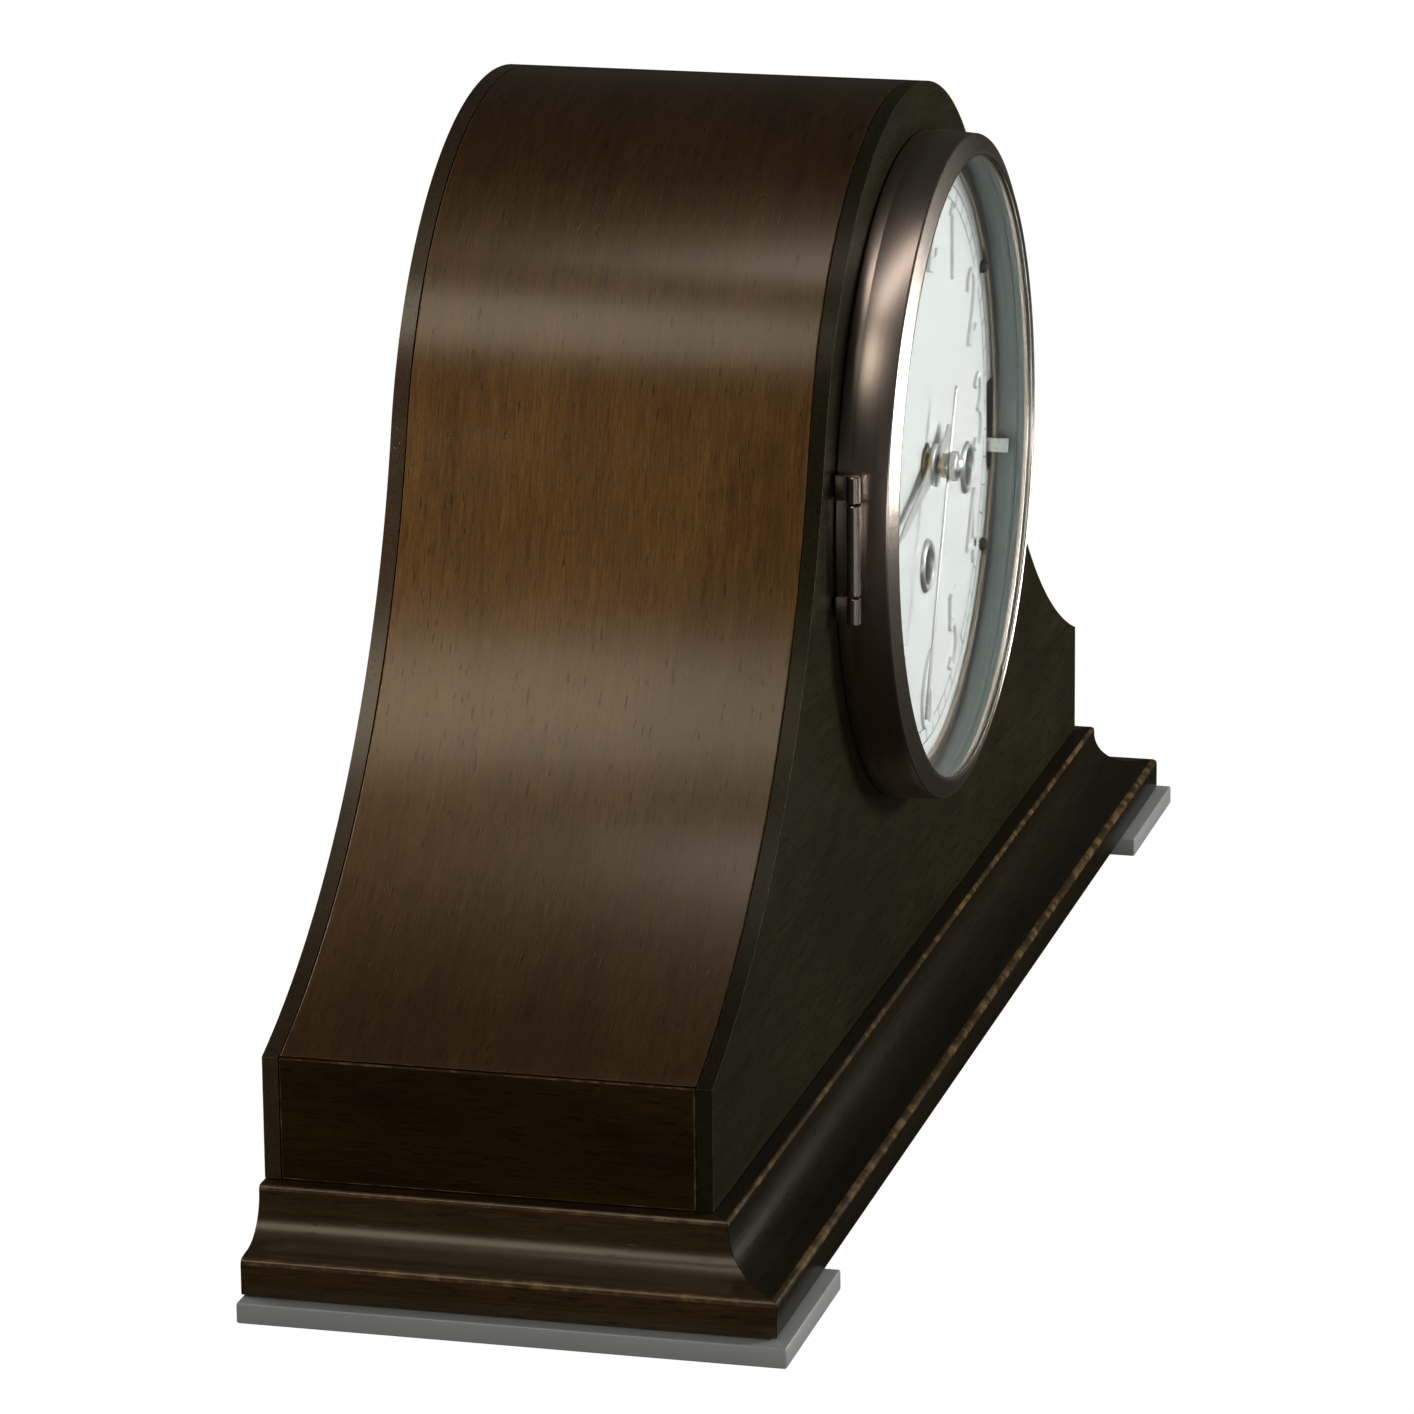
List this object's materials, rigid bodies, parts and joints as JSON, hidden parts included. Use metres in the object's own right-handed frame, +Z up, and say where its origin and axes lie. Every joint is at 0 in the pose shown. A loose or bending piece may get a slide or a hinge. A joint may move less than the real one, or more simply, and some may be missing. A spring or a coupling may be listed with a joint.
{
  "type": "mantel clock",
  "caption": "Tambour mantel clock with a bent wooden top, hinged glazed bezel, dial with hands, key-wound movement, chime rods and a back door.",
  "frame": {"origin": "centre of the footprint on the surface the clock stands on", "axes": "+X along the case to the dial's three o'clock side, -Y out of the dial, +Z up"},
  "size_m": [0.5402, 0.1575, 0.295],
  "materials": {
    "dark_wood": "espresso stain under satin lacquer",
    "plain_wood": "plain stained board",
    "nickel": "brushed nickel plate",
    "gunmetal": "smooth satin gunmetal",
    "glass": "clear flat glass",
    "white_dial": "satin white paint",
    "black_steel": "semi-gloss black",
    "grey_steel": "brushed steel",
    "brass": "lacquered brass",
    "cast_iron": "black painted iron"
  },
  "bodies": {
    "case": {"front_panel": "dark_wood", "back_panel": "dark_wood", "curved_shell": "dark_wood", "left_end_block": "dark_wood", "right_end_block": "dark_wood", "front_moulding": "dark_wood", "left_moulding": "dark_wood", "right_moulding": "dark_wood", "base_board": "plain_wood", "left_foot_plate": "gunmetal", "right_foot_plate": "gunmetal", "rear_hinge_frame_leaf": "grey_steel", "rear_hinge_pin": "grey_steel", "bezel_back_ring": "nickel", "bezel_hinge_pin": "nickel", "dial_plate": "white_dial", "winding_grommet_chime": "nickel", "winding_grommet_time": "nickel", "winding_grommet_strike": "nickel", "dial_screw_2": "black_steel", "dial_screw_4": "black_steel", "dial_screw_8": "black_steel", "dial_screw_10": "black_steel", "centre_bushing": "brass", "movement_front_plate": "brass", "movement_back_plate": "brass", "movement_pillar_1": "brass", "movement_pillar_2": "brass", "movement_pillar_3": "brass", "movement_pillar_4": "brass", "mainspring_barrel_chime": "brass", "mainspring_barrel_time": "brass", "mainspring_barrel_strike": "brass", "selector_stud": "grey_steel", "chime_block": "cast_iron", "chime_rod_1": "grey_steel", "chime_rod_2": "grey_steel", "chime_rod_3": "grey_steel", "hammer_bracket": "grey_steel", "hammer_shaft": "grey_steel"},
    "bezel_door": {"bezel_hoop": "nickel", "bezel_glass": "glass", "glass_retainer": "nickel"},
    "minute_train": {"minute_hand": "nickel", "hand_nut": "nickel", "centre_arbor": "grey_steel"},
    "motion_wheel": {"minute_wheel": "brass"},
    "hour_train": {"hour_hand": "grey_steel", "hour_wheel": "brass"},
    "chime_winder": {"winding_arbor_chime": "grey_steel"},
    "time_winder": {"winding_arbor_time": "grey_steel"},
    "strike_winder": {"winding_arbor_strike": "grey_steel"},
    "chime_selector": {"chime_selector_lever": "nickel"},
    "back_door": {"rear_door": "dark_wood", "rear_hinge_door_leaf": "grey_steel"},
    "hammer_1": {"chime_hammer_1": "brass"},
    "hammer_2": {"chime_hammer_2": "brass"},
    "hammer_3": {"chime_hammer_3": "brass"}
  },
  "joints": [
    {"name": "bezel_hinge", "type": "hinge", "parent": "case", "child": "bezel_door", "pos_m": [-0.1018, -0.0581, 0.182], "axis": [0, 0, -1], "range_deg": [0, 115]},
    {"name": "minute_turn", "type": "hinge", "parent": "case", "child": "minute_train", "pos_m": [0, -0.0581, 0.182], "axis": [0, 1, 0], "continuous": true},
    {"name": "motion_wheel_turn", "type": "hinge", "parent": "case", "child": "motion_wheel", "pos_m": [0, -0.0387, 0.194], "axis": [0, 1, 0], "continuous": true},
    {"name": "hour_turn", "type": "hinge", "parent": "case", "child": "hour_train", "pos_m": [0, -0.0415, 0.182], "axis": [0, 1, 0], "continuous": true},
    {"name": "chime_winding", "type": "hinge", "parent": "case", "child": "chime_winder", "pos_m": [0.054, -0.03, 0.168], "axis": [0, 1, 0], "continuous": true},
    {"name": "time_winding", "type": "hinge", "parent": "case", "child": "time_winder", "pos_m": [0, -0.03, 0.151], "axis": [0, 1, 0], "continuous": true},
    {"name": "strike_winding", "type": "hinge", "parent": "case", "child": "strike_winder", "pos_m": [-0.054, -0.03, 0.168], "axis": [0, 1, 0], "continuous": true},
    {"name": "selector_turn", "type": "hinge", "parent": "case", "child": "chime_selector", "pos_m": [0.066, -0.053, 0.171], "axis": [0, -1, 0], "range_deg": [-7.6, 28.4]},
    {"name": "back_door_hinge", "type": "hinge", "parent": "case", "child": "back_door", "pos_m": [-0.0817, 0.0772, 0.1306], "axis": [0, 0, 1], "range_deg": [0, 110]},
    {"name": "hammer_1_lift", "type": "hinge", "parent": "case", "child": "hammer_1", "pos_m": [0.096, 0.03, 0.066], "axis": [0, -1, 0], "range_deg": [0, 18]},
    {"name": "hammer_2_lift", "type": "hinge", "parent": "case", "child": "hammer_2", "pos_m": [0.096, 0.039, 0.066], "axis": [0, -1, 0], "range_deg": [0, 18]},
    {"name": "hammer_3_lift", "type": "hinge", "parent": "case", "child": "hammer_3", "pos_m": [0.096, 0.048, 0.066], "axis": [0, -1, 0], "range_deg": [0, 18]}
  ],
  "couplings": [
    {"joint": "motion_wheel_turn", "follows": "minute_turn", "ratio": -0.33333},
    {"joint": "hour_turn", "follows": "minute_turn", "ratio": 0.083333}
  ]
}
